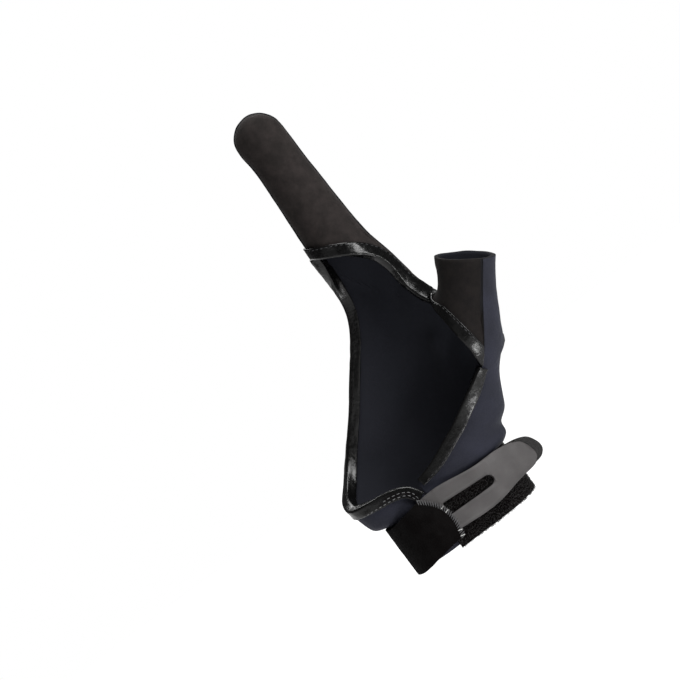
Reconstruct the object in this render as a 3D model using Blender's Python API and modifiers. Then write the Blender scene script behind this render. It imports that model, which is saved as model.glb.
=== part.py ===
"""Casting glove for a right hand, in the form that it takes when worn: a neoprene back that wraps the
wrist, thumb and index finger, suede fronts on the finger and thumb, bound edges, a wrist strap and a pull tab.

Frame: metres. +Z runs from the wrist to the fingertip, +X to the thumb side, and the palm faces -Y.
The origin is the centre of the wrist opening.

Heights along the hand are levels: 0 at the wrist opening, 1 at the top of the cuff, 2 at the index knuckle
and 3 at the fingertip. Angles around the hand or the thumb are degrees: 0 faces the palm side, 90 the thumb
side, 180 the back of the hand and 270 the little finger's side.
"""

import math

import bmesh
import bpy
import numpy as np

MM = 0.001

# The hand form that the glove keeps.
WRIST_WIDTH = 55.0 * MM
WRIST_DEPTH = 35.0 * MM
PALM_WIDTH = 88.0 * MM
PALM_DEPTH = 26.0 * MM
CUFF_HEIGHT = 29.0 * MM
KNUCKLE_HEIGHT = 116.0 * MM
KNUCKLE_SIDE = 26.0 * MM
FINGER_LENGTH = 78.0 * MM
FINGER_BASE_WIDTH = 23.8 * MM
FINGER_TIP_WIDTH = 16.4 * MM
THUMB_BASE_SIDE = 14.0 * MM
THUMB_BASE_FORWARD = 6.0 * MM
THUMB_BASE_HEIGHT = 22.0 * MM
THUMB_PALM_LENGTH = 60.0 * MM
THUMB_FREE_LENGTH = 35.5 * MM
THUMB_WIDTH = 23.0 * MM
THUMB_SPREAD = math.radians(34.0)
THUMB_FORWARD = math.radians(11.0)
FLESH_BLEND = 3.0 * MM

# The cloth and its edges.
LINING_LIFT = 0.3 * MM
NEOPRENE = 2.0 * MM
SUEDE = 1.4 * MM
SEAM_GAP = 0.35 * MM
WEB_GAP = 1.2 * MM
FRONT_INSET = 0.2
BINDING_WALL = 0.7 * MM
BINDING_GAP = 0.73 * MM
FINGER_BINDING_WIDTH = 5.1 * MM
EDGE_BINDING_WIDTH = 4.2 * MM

# The closure.
STRAP_WIDTH = 24.0 * MM
STRAP = 1.5 * MM
LAYER_GAP = 0.38 * MM
HOOK_PAD = 0.8 * MM
TAB = 1.6 * MM
TAB_ROOT = -15.5 * MM
TAB_LEAVES = 20.0 * MM
TAB_REACH = 44.5 * MM
TAB_FACE_REACH = 40.0 * MM
PAD_INSET = 0.5 * MM
SLOT_WIDTH = 6.0 * MM

ARM_SHARE = 0.49


def unit(vectors):
    return vectors / np.maximum(np.linalg.norm(vectors, axis=-1, keepdims=True), 1e-12)


def place(x, y, z):
    return np.array((x, y, z), float)


THUMB_AXIS = place(
    math.sin(THUMB_SPREAD) * math.cos(THUMB_FORWARD),
    -math.sin(THUMB_FORWARD),
    math.cos(THUMB_SPREAD) * math.cos(THUMB_FORWARD),
)
THUMB_PALM_SIDE = unit(place(0, -1, 0) + THUMB_AXIS[1] * THUMB_AXIS)
THUMB_OUTER_SIDE = np.cross(THUMB_AXIS, THUMB_PALM_SIDE)
THUMB_BASE = place(THUMB_BASE_SIDE, -THUMB_BASE_FORWARD, THUMB_BASE_HEIGHT)
KNUCKLE = place(KNUCKLE_SIDE, 0, KNUCKLE_HEIGHT)
FINGERTIP = KNUCKLE + FINGER_LENGTH * unit(place(0.02, -0.04, 1))


def joints():
    """The joints and muscle ends inside the glove, by name."""
    arm = WRIST_WIDTH / 2 - ARM_SHARE * WRIST_DEPTH
    thumb_knuckle = THUMB_BASE + THUMB_PALM_LENGTH * THUMB_AXIS
    return {
        "arm_radial": place(arm, 0, -CUFF_HEIGHT),
        "arm_ulnar": place(-arm, 0, -CUFF_HEIGHT),
        "wrist_radial": place(arm, 0, 0.2 * KNUCKLE_HEIGHT),
        "wrist_ulnar": place(-arm, 0, 0.2 * KNUCKLE_HEIGHT),
        "index_knuckle": KNUCKLE,
        "fingertip": FINGERTIP,
        "tip_ulnar": FINGERTIP + FINGER_TIP_WIDTH * place(-0.20, 0, 0.10),
        "tip_radial": FINGERTIP + FINGER_TIP_WIDTH * place(-0.06, 0, 0.10),
        "middle_knuckle": KNUCKLE + place(-0.25 * PALM_WIDTH, 0.06 * PALM_DEPTH, -0.03 * KNUCKLE_HEIGHT),
        "ring_knuckle": KNUCKLE + place(-0.48 * PALM_WIDTH, 0.04 * PALM_DEPTH, -0.09 * KNUCKLE_HEIGHT),
        "little_knuckle": KNUCKLE + place(-0.70 * PALM_WIDTH, -0.04 * PALM_DEPTH, -0.20 * KNUCKLE_HEIGHT),
        "wrist_middle": place(0, 0, 0.2 * KNUCKLE_HEIGHT),
        "index_gap": KNUCKLE + place(-0.125 * PALM_WIDTH, 0.03 * PALM_DEPTH, -0.015 * KNUCKLE_HEIGHT),
        "middle_gap": KNUCKLE + place(-0.365 * PALM_WIDTH, 0.05 * PALM_DEPTH, -0.06 * KNUCKLE_HEIGHT),
        "ring_gap": KNUCKLE + place(-0.59 * PALM_WIDTH, 0, -0.145 * KNUCKLE_HEIGHT),
        "heel": place(-0.29 * PALM_WIDTH, -0.16 * PALM_DEPTH, 0.30 * KNUCKLE_HEIGHT),
        "little_ball": place(-0.38 * PALM_WIDTH, -0.10 * PALM_DEPTH, 0.62 * KNUCKLE_HEIGHT),
        "thumb_base": THUMB_BASE,
        "thumb_knuckle": thumb_knuckle,
        "thumb_end": thumb_knuckle + THUMB_FREE_LENGTH * THUMB_AXIS,
        "thumb_tip": thumb_knuckle + 1.7 * THUMB_FREE_LENGTH * THUMB_AXIS,
        "ball_low": place(0.10 * PALM_WIDTH, -0.30 * PALM_DEPTH, 0.31 * KNUCKLE_HEIGHT),
        "ball_high": place(0.36 * PALM_WIDTH, -0.50 * PALM_DEPTH, 0.46 * KNUCKLE_HEIGHT),
        "web_hand": KNUCKLE + place(0.02 * PALM_WIDTH, 0, -0.25 * KNUCKLE_HEIGHT),
        "web_thumb": thumb_knuckle + 0.45 * THUMB_FREE_LENGTH * THUMB_AXIS,
        "skirt_high": KNUCKLE + place(0.08 * PALM_WIDTH, 0, 0.02 * KNUCKLE_HEIGHT),
        "skirt_low": KNUCKLE + place(0.165 * PALM_WIDTH, -0.19 * PALM_DEPTH, -0.19 * KNUCKLE_HEIGHT),
    }


# Each limb of flesh: its two ends, the size that its girth follows, and its radius there as shares of it.
LIMBS = (
    ("arm_radial", "wrist_radial", WRIST_DEPTH, ARM_SHARE, ARM_SHARE),
    ("arm_ulnar", "wrist_ulnar", WRIST_DEPTH, ARM_SHARE, ARM_SHARE),
    ("wrist_radial", "index_knuckle", PALM_DEPTH, 0.46, 0.44),
    ("wrist_radial", "index_gap", PALM_DEPTH, 0.45, 0.42),
    ("wrist_middle", "middle_knuckle", PALM_DEPTH, 0.45, 0.44),
    ("wrist_middle", "middle_gap", PALM_DEPTH, 0.45, 0.42),
    ("wrist_ulnar", "ring_knuckle", PALM_DEPTH, 0.45, 0.43),
    ("wrist_ulnar", "ring_gap", PALM_DEPTH, 0.45, 0.42),
    ("wrist_ulnar", "little_knuckle", PALM_DEPTH, 0.46, 0.42),
    ("heel", "little_ball", PALM_DEPTH, 0.42, 0.42),
    ("index_knuckle", "fingertip", FINGER_BASE_WIDTH, 0.5, 0.5 * FINGER_TIP_WIDTH / FINGER_BASE_WIDTH),
    ("tip_ulnar", "tip_radial", FINGER_TIP_WIDTH, 0.32, 0.32),
    ("thumb_base", "thumb_knuckle", THUMB_WIDTH, 0.38, 0.50),
    ("thumb_knuckle", "thumb_end", THUMB_WIDTH, 0.50, 0.39),
    ("thumb_end", "thumb_tip", THUMB_WIDTH, 0.39, 0.34),
    ("ball_low", "ball_high", THUMB_WIDTH, 0.50, 0.50),
    ("web_hand", "web_thumb", THUMB_WIDTH, 0.24, 0.24),
    ("skirt_high", "skirt_low", THUMB_WIDTH, 0.28, 0.22),
)
JOINTS = joints()
LIMB_START = np.array([JOINTS[limb[0]] for limb in LIMBS])
LIMB_RUN = np.array([JOINTS[limb[1]] - JOINTS[limb[0]] for limb in LIMBS])
LIMB_RADIUS = np.array([limb[2] * limb[3] for limb in LIMBS])
LIMB_TAPER = np.array([limb[2] * (limb[4] - limb[3]) for limb in LIMBS])


def flesh(points):
    """(height over the hand's surface, outward direction) at each point. The limbs melt into each other."""
    offset = points[..., None, :] - LIMB_START
    along = np.clip((offset * LIMB_RUN).sum(-1) / (LIMB_RUN**2).sum(-1), 0, 1)
    away = offset - along[..., None] * LIMB_RUN
    reach = np.linalg.norm(away, axis=-1)
    height = reach - LIMB_RADIUS - along * LIMB_TAPER
    nearest = height.min(-1, keepdims=True)
    weight = np.exp((nearest - height) / FLESH_BLEND)
    total = weight.sum(-1, keepdims=True)
    outward = ((weight / total)[..., None] * away / np.maximum(reach, 1e-9)[..., None]).sum(-2)
    return (nearest - FLESH_BLEND * np.log(total))[..., 0], unit(outward)


def ease(table, at):
    """Smooth curve through the rows of table, whose first column is the parameter. Gives the other columns."""
    rows = np.asarray(table, float)
    knots, values = rows[:, 0], rows[:, 1:]
    at = np.clip(np.asarray(at, float), knots[0], knots[-1])
    slopes = np.gradient(values, knots, axis=0) if len(knots) > 2 else np.repeat(
        (values[1:] - values[:1]) / (knots[1] - knots[0]), 2, axis=0)
    left = np.clip(np.searchsorted(knots, at, side="right") - 1, 0, len(knots) - 2)
    step = knots[left + 1] - knots[left]
    share = ((at - knots[left]) / step)[..., None]
    step = step[..., None]
    return (
        (2 * share**3 - 3 * share**2 + 1) * values[left]
        + (share**3 - 2 * share**2 + share) * step * slopes[left]
        + (3 * share**2 - 2 * share**3) * values[left + 1]
        + (share**3 - share**2) * step * slopes[left + 1]
    )


# The height of each level over the wrist opening.
LEVELS = ((0, 0.0), (1, CUFF_HEIGHT), (2, KNUCKLE_HEIGHT), (3, FINGERTIP[2]))


def height_of(level):
    return np.interp(level, [row[0] for row in LEVELS], [row[1] for row in LEVELS])


# The middle of the hand at each level: its place to the thumb side, as a share of the knuckle's.
MIDDLE = ((0, 0.0), (1, 0.03), (1.4, 0.18), (1.75, 0.60), (1.9, 0.88), (2.1, 1.0), (3, FINGERTIP[0] / KNUCKLE[0]))


def hand_middle(level):
    side = ease(MIDDLE, level)[..., 0] * KNUCKLE_SIDE
    forward = FINGERTIP[1] * np.clip(np.asarray(level) - 2, 0, 1)
    return np.stack([side, forward, height_of(level)], -1)


def hand_side(angle):
    turn = np.radians(angle)
    return np.stack([np.sin(turn), -np.cos(turn), 0 * turn], -1)


# Folds of the cloth at the root of the thumb: level, angle, half spans in levels and degrees, and height as
# a share of the neoprene's thickness.
FOLDS = (
    (1.10, 82, 0.055, 42, 1.05),
    (1.0, 92, 0.075, 38, 1.35),
    (1.47, 74, 0.100, 24, 0.55),
)


def fold_lift(points):
    """How far the folds raise the cloth at each point."""
    level = np.interp(points[..., 2], [row[1] for row in LEVELS], [row[0] for row in LEVELS])
    middle = hand_middle(level)
    angle = np.degrees(np.arctan2(points[..., 0] - middle[..., 0], middle[..., 1] - points[..., 1]))
    lift = np.zeros(points.shape[:-1])
    for fold_level, fold_angle, level_span, angle_span, share in FOLDS:
        reach = ((level - fold_level) / level_span) ** 2 + ((angle - fold_angle) / angle_span) ** 2
        lift += share * NEOPRENE * np.exp(-reach)
    return lift


def cast(origins, directions, lift):
    """Walks out along each direction to where the flesh lies the lift below."""
    travel = np.full(np.broadcast(origins, directions).shape[:-1], WRIST_DEPTH / 4)
    for _ in range(60):
        points = origins + travel[..., None] * directions
        height, outward = flesh(points)
        slope = np.maximum((outward * directions).sum(-1), 0.4)
        travel = travel + 0.8 * (lift - height) / slope
    return origins + travel[..., None] * directions


def settle(points, lift):
    """Moves points straight out of the flesh, or in, until it lies the lift below, and the folds with it."""
    for _ in range(12):
        height, outward = flesh(points)
        points = points + (lift + fold_lift(points) - height)[..., None] * outward
    return points


def around_hand(level, angle, lift=LINING_LIFT):
    """Points at the given levels and angles, the lift over the flesh. The wrist is straight under the strap."""
    level, angle = np.broadcast_arrays(np.asarray(level, float), np.asarray(angle, float))
    straight = level <= STRAIGHT_TOP + 0.001
    points = cast(hand_middle(np.where(straight, 0.4, level)), hand_side(angle), lift)
    points = np.where(straight[..., None], points, settle(points, lift))
    points[..., 2] = np.where(straight, height_of(level), points[..., 2])
    return points


def thumb_side(angle):
    turn = np.radians(angle)[..., None]
    return np.cos(turn) * THUMB_PALM_SIDE + np.sin(turn) * THUMB_OUTER_SIDE


def thumb_middle(share):
    return THUMB_BASE + share[..., None] * (THUMB_PALM_LENGTH + THUMB_FREE_LENGTH) * THUMB_AXIS


def around_thumb(share, angle, lift=LINING_LIFT):
    """Points on the thumb. The share runs from 0 at its root to 1 at the sleeve's open end."""
    share, angle = np.broadcast_arrays(np.asarray(share, float), np.asarray(angle, float))
    return cast(thumb_middle(share), thumb_side(angle), lift)


def resample(path, count):
    """count points evenly spaced along a path."""
    path = np.asarray(path, float)
    run = np.concatenate([[0], np.cumsum(np.linalg.norm(np.diff(path, axis=0), axis=1))])
    at = np.linspace(0, run[-1], count)
    return np.stack([np.interp(at, run, path[:, axis]) for axis in range(3)], -1)


# The heel's edge from the slit round to the little finger's side: level and angle.
HEEL_EDGE = ((0.95, 334.0), (1.035, 326.0), (1.075, 314.0), (1.095, 304.0), (1.11, 292.0), (1.13, 276.0))
# The slit in the cuff under the strap: level, and the angle of its side by the little finger and by the thumb.
SLIT = ((0.05, 343.0, -15.5), (0.85, 336.0, -20.5))
# Up to this level the cuff is straight, under the strap.
STRAIGHT_TOP = 0.88
# The back above the cuff. Each row runs from the little finger's side over the back of the hand, past the
# web's column, to the thumb side: level and angle at the three.
TRUNK = (
    (1.13, 276.0, 1.04, 146.0, 1.045, -27.0),
    (1.24, 256.0, 1.18, 138.0, 1.075, 2.0),
    (1.41, 241.0, 1.36, 124.0, 1.12, 23.0),
    (1.59, 231.0, 1.54, 110.0, 1.171, 37.6),
)
# The rest of the back's edge on the little finger's side, up to the finger's seam.
DORSAL_EDGE = ((1.76, 221.0), (1.93, 217.0), (2.08, 224.0), (2.21, 245.0))
# A point beyond the thumb side of the wrist: the back's cloth lies on this side of its bound edges.
SIDE_BEYOND_THUMB = place(WRIST_WIDTH, 0, -CUFF_HEIGHT)
# Columns of the back: along the heel, over the back of the hand and over the thumb side. Rows of its cuff, of
# the lower and upper half of its trunk, of the finger and of the thumb.
HEEL_COLUMNS = 9
BACK_COLUMNS = 18
THUMB_COLUMNS = 16
CUFF_ROWS = 5
LOWER_ROWS = 7
UPPER_ROWS = 7
FINGER_ROWS = 8
THUMB_ROWS = 6
FRONT_COLUMNS = 23
THUMB_FRONT_COLUMNS = 19
# How much closer the columns stand at a bound edge.
EDGE_CROWD = 1.4
RELAX_STEPS = 14
FINGER_SEAM_LEVEL = 2.31
FINGER_SEAM_ANGLE = 95.0
THUMB_SEAM_FOOT = (0.525, 20.0)
THUMB_SEAM_ANGLE = 29.0
THUMB_WEB_ANGLE = -97.0
# The web, where finger and thumb meet: its share of the way from the hand to the thumb, and how far its edge
# in the palm lies forward and its back lies backward, as shares of the thumb's width.
WEB_SHARE = 0.60
WEB_FORWARD = 0.15
WEB_BACKWARD = 0.32

# The free lower edge of the finger's front: level and angle around the hand.
FINGER_EDGE = (
    (FINGER_SEAM_LEVEL, -FINGER_SEAM_ANGLE),
    (2.28, -60.0),
    (2.205, -8.0),
    (2.13, 30.0),
    (2.075, 46.0),
    (1.99, 55.0),
    (1.88, 61.0),
)
# The free edge of the thumb's front between its seam's foot and the web: share of the thumb and angle around it.
THUMB_EDGE = ((0.61, 3.0), (0.685, -22.0), (0.755, -55.0))
# Rows over the fingertip, as shares of the quarter turn to its pole.
CAP = (0.3, 0.6, 0.85)

# How much of its width a binding covers past its middle, how much wider the web's binding is at its foot, and the
# share of an edge over which its end turns.
BINDING_REACH = 0.7
WEB_BINDING_FOOT = 1.3
EDGE_TURN = 0.25
# How far each binding's ends stop short, in seam gaps.
BINDING_ENDS = {
    "finger_binding": (1.0, 5.5),
    "web_binding": (2.0, 5.5),
    "heel_binding": (3.0, 6.0),
    "thenar_binding": (3.0, 3.0),
}
# Width of the back's bindings at their two ends, as shares of the full width.
BINDING_TIPS = {
    "heel_binding": (1.0, 0.95),
    "thenar_binding": (0.75, 0.55),
}
# Columns at the web over which each front narrows to the web's back.
FINGER_CLOSING_COLUMNS = 6
THUMB_CLOSING_COLUMNS = 5

# The strap's free end, from its lower to its upper edge: share of the strap's width and angle.
STRAP_END = ((0.0, -11.5), (0.5, -9.5), (0.8, -16.0), (1.0, -26.5))
# The angle where the strap starts, and those between which it climbs on to its other layers.
STRAP_START_ANGLE = -24.0
STRAP_CLIMB = (265.0, 330.0)
# How far the strap's free end rises, as a share of its width, and the angles between which it does.
STRAP_TILT = 0.19
STRAP_TILTS = (290.0, 350.0)
# Points across the strap and along it.
STRAP_ACROSS = 5
STRAP_ALONG = 61
# Lower and upper edge of the tab along its reach, as shares of the strap's width.
TAB_OUTLINE = (
    (0.00, 0.33, 1.13),
    (0.16, 0.31, 1.165),
    (0.55, 0.275, 1.06),
    (0.80, 0.36, 1.02),
    (0.90, 0.375, 0.955),
    (0.96, 0.40, 0.865),
    (1.00, 0.50, 0.66),
)
# The slot's two ends along the tab, its middle there as shares of the strap's width, how much it narrows, and
# the share of its length that its round end takes.
SLOT_SPAN = (0.19, 0.62)
SLOT_MIDDLE = (0.735, 0.69)
SLOT_NARROWING = 0.2
SLOT_ROUND = 0.12


def smooth(share):
    share = np.clip(share, 0, 1)
    return share * share * (3 - 2 * share)


def mix(first, last, share):
    return first + (last - first) * share


def locate(points):
    """Level and angle around the hand of each point."""
    level = np.interp(points[..., 2], [row[1] for row in LEVELS], [row[0] for row in LEVELS])
    middle = hand_middle(level)
    return level, np.degrees(np.arctan2(points[..., 0] - middle[..., 0], middle[..., 1] - points[..., 1]))


def locate_on_thumb(points):
    """Share along the thumb and angle around it of each point."""
    offset = points - THUMB_BASE
    share = offset @ THUMB_AXIS / (THUMB_PALM_LENGTH + THUMB_FREE_LENGTH)
    return share, np.degrees(np.arctan2(offset @ THUMB_OUTER_SIDE, offset @ THUMB_PALM_SIDE))


def inward(path, toward):
    """Unit directions on the surface, square to the path, on the side of the point named toward."""
    side = unit(np.cross(flesh(path)[1], np.gradient(path, axis=0)))
    for _ in range(3):
        side[1:-1] = unit(side[:-2] + 2 * side[1:-1] + side[2:])
    return side if ((toward - path) * side).sum() > 0 else -side


def turn_ends(side, first, last):
    """Turns the directions near the two ends of a path to the given ones."""
    share = np.linspace(0, 1, len(side))[:, None]
    if first is not None:
        side = mix(side, unit(first), 1 - smooth(share / EDGE_TURN))
    if last is not None:
        side = mix(side, unit(last), 1 - smooth((1 - share) / EDGE_TURN))
    return unit(side)


def pull_ends(rows, gap=SEAM_GAP / 2):
    """Draws both ends of each row in by half the seam's gap."""
    drawn = []
    for row in rows:
        row = row.copy()
        row[0] += gap * unit(row[1] - row[0])
        row[-1] += gap * unit(row[-2] - row[-1])
        drawn.append(row)
    return drawn


def draped(knots, count):
    """Evenly spaced points of a smooth curve through the knots, laid on the hand."""
    run = np.concatenate([[0], np.cumsum(np.linalg.norm(np.diff(knots, axis=0), axis=1))])
    path = ease(np.column_stack([run, knots]), np.linspace(0, run[-1], 4 * count))
    return resample(settle(path, LINING_LIFT), count)


def web_points():
    """The web's edge in the palm and its back."""
    crest = mix(JOINTS["web_hand"], JOINTS["web_thumb"], WEB_SHARE) + place(0, 0, 0.3 * THUMB_WIDTH)
    sides = np.array([crest - place(0, WEB_FORWARD * THUMB_WIDTH, 0), crest + place(0, WEB_BACKWARD * THUMB_WIDTH, 0)])
    return settle(sides, LINING_LIFT)


def far_side(edge, side, width):
    return settle(edge + side * np.asarray(width)[..., None], LINING_LIFT)


def closing_on(row, end, columns):
    """The row with its last columns running straight to the end."""
    share = np.linspace(0, 1, columns + 1)[:, None]
    return np.concatenate([row[: -columns - 1], settle(mix(row[-columns - 1], end, share), LINING_LIFT)])


def finger_edge():
    """Free edge of the finger's front, and the row in the cloth that its binding reaches."""
    front, back = web_points()
    table = np.array(FINGER_EDGE)
    edge = draped([*around_hand(table[:, 0], table[:, 1]), front], FRONT_COLUMNS)
    side = turn_ends(inward(edge, FINGERTIP), place(0, 0, 1), None)
    far = far_side(edge, side, np.full(FRONT_COLUMNS, FINGER_BINDING_WIDTH))
    return edge, closing_on(far, back, FINGER_CLOSING_COLUMNS)


def thumb_edge():
    """The same for the thumb's front, from the foot of its seam to the web."""
    front, back = web_points()
    table = np.array([THUMB_SEAM_FOOT, *THUMB_EDGE])
    edge = draped([*around_thumb(table[:, 0], table[:, 1]), front], THUMB_FRONT_COLUMNS)
    rim = THUMB_BASE + (THUMB_PALM_LENGTH + THUMB_FREE_LENGTH) * THUMB_AXIS
    seam = around_thumb(mix(THUMB_SEAM_FOOT[0], 1, 0.2), mix(THUMB_SEAM_FOOT[1], THUMB_SEAM_ANGLE, 0.2))
    side = turn_ends(inward(edge, rim), seam - edge[0], None)
    share = np.linspace(0, 1, THUMB_FRONT_COLUMNS)
    far = far_side(edge, side, EDGE_BINDING_WIDTH * mix(WEB_BINDING_FOOT, 1, smooth(share / EDGE_TURN)))
    return edge, closing_on(far, back, THUMB_CLOSING_COLUMNS)


def finger_rows(start, ends, shares):
    """Rows from a starting row up the finger and over its tip, between two seam angles."""
    level, angle = locate(start)
    angle = np.where(angle < min(ends) - 90, angle + 360, angle)
    ring = np.linspace(ends[0], ends[1], len(start))
    rows = [around_hand(mix(level, 3, share), mix(angle, ring, smooth(share))) for share in shares]
    for share in (*CAP, 1.0):
        rise = np.radians(90 * share)
        direction = math.cos(rise) * hand_side(ring) + math.sin(rise) * place(0, 0, 1)
        rows.append(cast(FINGERTIP, direction, LINING_LIFT))
    return rows


def thumb_rows(start, ends, shares):
    """Rows from a starting row up the thumb to the sleeve's open end."""
    along, angle = locate_on_thumb(start)
    angle = np.where(angle < min(ends) - 80, angle + 360, angle)
    ring = np.linspace(ends[0], ends[1], len(start))
    return [around_thumb(mix(along, 1, share), mix(angle, ring, smooth(share))) for share in shares]


def back_shares():
    """Places of the columns over the back of the hand, closer at the bound edge."""
    return np.linspace(0, 1, BACK_COLUMNS) ** EDGE_CROWD


def thumb_shares():
    """Places of the columns over the thumb side, closer at the bound edge."""
    return 1 - np.linspace(1, 0, THUMB_COLUMNS) ** EDGE_CROWD


def split_row():
    """The row where finger and thumb part: the finger's half and the thumb's half, which share the web."""
    web = web_points()[1]
    web_level, web_angle = locate(web)
    share = back_shares()
    level = mix(FINGER_SEAM_LEVEL, web_level, share)
    upper = around_hand(level, mix(360 - FINGER_SEAM_ANGLE, web_angle, share))
    upper[-1] = web
    along, angle = locate_on_thumb(web)
    along = mix(along, THUMB_SEAM_FOOT[0], thumb_shares())
    angle = mix(angle + 360, THUMB_SEAM_FOOT[1], thumb_shares())
    lower = around_thumb(along, angle)
    lower[0] = web
    return upper, lower


def row_across(row):
    """Points of one of the trunk's rows."""
    share = back_shares()
    upper = around_hand(mix(row[0], row[2], share), mix(row[1], row[3], share))
    share = thumb_shares()
    lower = around_hand(mix(row[2], row[4], share), mix(row[3], row[5], share))
    return np.concatenate([upper, lower[1:]])


def cuff_rows():
    """Rows of the cuff from the wrist opening up to the heel's edge and the trunk's first row."""
    heel = ease(np.column_stack([np.linspace(0, 1, len(HEEL_EDGE)), HEEL_EDGE]), np.linspace(0, 1, HEEL_COLUMNS))
    level, angle = locate(spaced(row_across(TRUNK[0])))
    angle = np.degrees(np.unwrap(np.radians(angle)))
    angle += 360 * np.round((TRUNK[0][1] - angle[0]) / 360)
    top = np.concatenate([heel, np.column_stack([level, angle])[1:]])
    around = (top[:, 1] - top[-1, 1]) / (top[0, 1] - top[-1, 1])
    slit = (*SLIT, (1.0, top[0, 1], top[-1, 1]))
    low = [(np.full(len(top), level), level) for level in np.linspace(SLIT[0][0], STRAIGHT_TOP, CUFF_ROWS)]
    high = [(mix(STRAIGHT_TOP, top[:, 0], share), mix(STRAIGHT_TOP, 1, share)) for share in (0.25, 0.5, 0.75, 1.0)]
    rows = []
    for level, along in [*low, *high]:
        ulnar, radial = ease(slit, along)
        angle = top[:, 1] + (ulnar - top[0, 1]) * around**4 + (radial - top[-1, 1]) * (1 - around) ** 4
        rows.append(around_hand(level, angle))
    return rows


def trunk_rows():
    """Rows of the back from the cuff up to, and with, the row where finger and thumb part."""
    table = np.column_stack([np.linspace(0, 1, len(TRUNK)), TRUNK])
    rows = [row_across(row) for row in ease(table, np.linspace(0, 1, LOWER_ROWS))]
    rows[0] = cuff_rows()[-1][HEEL_COLUMNS - 1 :]
    upper, lower = split_row()
    top = TRUNK[-1]
    low = rows[-1][BACK_COLUMNS - 1 :]
    shares = np.linspace(0, 1, UPPER_ROWS + 1)
    edge = [top[:2], *DORSAL_EDGE, (FINGER_SEAM_LEVEL, 360 - FINGER_SEAM_ANGLE)]
    dorsal = ease(np.column_stack([np.linspace(0, 1, len(edge)), edge]), shares)
    across = back_shares()
    for share, (level, angle) in list(zip(shares, dorsal))[1:-1]:
        thumb = settle(mix(low, lower, share), LINING_LIFT)
        column_level, column_angle = locate(thumb[0])
        back = around_hand(mix(level, column_level, across), mix(angle, column_angle, across))
        rows.append(np.concatenate([back[:-1], thumb]))
    rows = relaxed([*rows, np.concatenate([upper, lower[1:]])], LOWER_ROWS // 2, 3)
    return [rows[0], *[spaced(row) for row in rows[1:-1]], rows[-1]]


def under_edge(line):
    """The points of a row respaced from its bound edge: two for the binding's width, then evenly."""
    run = np.concatenate([[0], np.cumsum(np.linalg.norm(np.diff(line, axis=0), axis=1))])
    at = np.concatenate([[0, EDGE_BINDING_WIDTH / 2], np.linspace(EDGE_BINDING_WIDTH, run[-1], len(line) - 2)])
    return settle(np.stack([np.interp(at, run, line[:, axis]) for axis in range(3)], -1), LINING_LIFT)


def spaced(row):
    """One of the trunk's rows with both its halves respaced from their bound edges."""
    column = BACK_COLUMNS - 1
    return np.concatenate([under_edge(row[: column + 1]), under_edge(row[column:][::-1])[::-1][1:]])


def relaxed(rows, first_row, first_column):
    """The rows with the cloth evened out inside their borders, from the given row and column on."""
    grid = np.array(rows)
    inside = (slice(first_row, -1), slice(first_column, -1))
    for _ in range(RELAX_STEPS):
        middle = (grid[:-2, 1:-1] + grid[2:, 1:-1] + grid[1:-1, :-2] + grid[1:-1, 2:]) / 4
        grid[inside] = settle(mix(grid[inside], middle[first_row - 1 :, first_column - 1 :], 0.5), LINING_LIFT)
    return list(grid)


def sheet_mesh(grids, is_open=lambda row, column: False):
    """One mesh from grids of rows, which may share their borders, with its faces pointing out of the hand."""
    mesh = bmesh.new()
    for rows in grids:
        verts = [[mesh.verts.new(point) for point in row] for row in rows]
        for row, (low, high) in enumerate(zip(verts, verts[1:])):
            for column in range(len(low) - 1):
                if not is_open(row, column):
                    mesh.faces.new((low[column], low[column + 1], high[column + 1], high[column]))
    bmesh.ops.remove_doubles(mesh, verts=mesh.verts, dist=0.02 * MM)
    mesh.normal_update()
    out = sum(
        float(flesh(np.array(face.calc_center_median()))[1] @ np.array(face.normal)) * face.calc_area()
        for face in mesh.faces
    )
    if out < 0:
        bmesh.ops.reverse_faces(mesh, faces=mesh.faces)
    return mesh


def thicken(name, mesh, thickness, offset, finish):
    """Object with a wall of the given thickness on the sheet."""
    data = bpy.data.meshes.new(name)
    mesh.to_mesh(data)
    mesh.free()
    data.shade_smooth()
    thing = bpy.data.objects.new(name, data)
    PARTS.objects.link(thing)
    wall = thing.modifiers.new("Wall", "SOLIDIFY")
    wall.thickness = thickness
    wall.offset = offset
    data.materials.append(finish)
    return thing


def binding(name, edge, far, cloth):
    """Object of a binding folded over a cloth edge: out along the front, round the edge and back inside."""
    front = cloth + BINDING_GAP + BINDING_WALL / 2
    inside = -BINDING_GAP - BINDING_WALL / 2
    middle = settle((edge + far) / 2, LINING_LIFT)
    lip = settle(edge + inside * unit(middle - edge), LINING_LIFT)
    far = mix(middle, far, BINDING_REACH)
    sides = ((far, front), (middle, front), (lip, front), (lip, inside), (middle, inside), (far, inside))
    rows = list(np.stack([line + lift * flesh(line)[1] for line, lift in sides], 1))
    first, last = BINDING_ENDS[name]
    rows[0] = rows[0] + first * SEAM_GAP * unit(rows[1] - rows[0])
    rows[-1] = rows[-1] + last * SEAM_GAP * unit(rows[-2] - rows[-1])
    thicken(name, sheet_mesh([rows]), BINDING_WALL, 0, FINISHES["gloss_binding"])


def back_panel():
    cuff = cuff_rows()
    trunk = trunk_rows()
    upper, lower = split_row()
    shares = np.linspace(0, 1, FINGER_ROWS + 1)[1:]
    finger = [upper, *finger_rows(upper, (360 - FINGER_SEAM_ANGLE, FINGER_SEAM_ANGLE), shares)]
    finger = [finger[0], *pull_ends(finger[1:-1]), finger[-1] + place(0, SEAM_GAP / 2, 0)]
    shares = np.linspace(0, 1, THUMB_ROWS + 1)[1:]
    thumb = [lower, *pull_ends(thumb_rows(lower, (THUMB_WEB_ANGLE + 360, THUMB_SEAM_ANGLE), shares))]
    mesh = sheet_mesh([cuff, trunk, finger, thumb])
    return thicken("back_panel", mesh, NEOPRENE, 1, FINISHES["navy_neoprene"])


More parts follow.
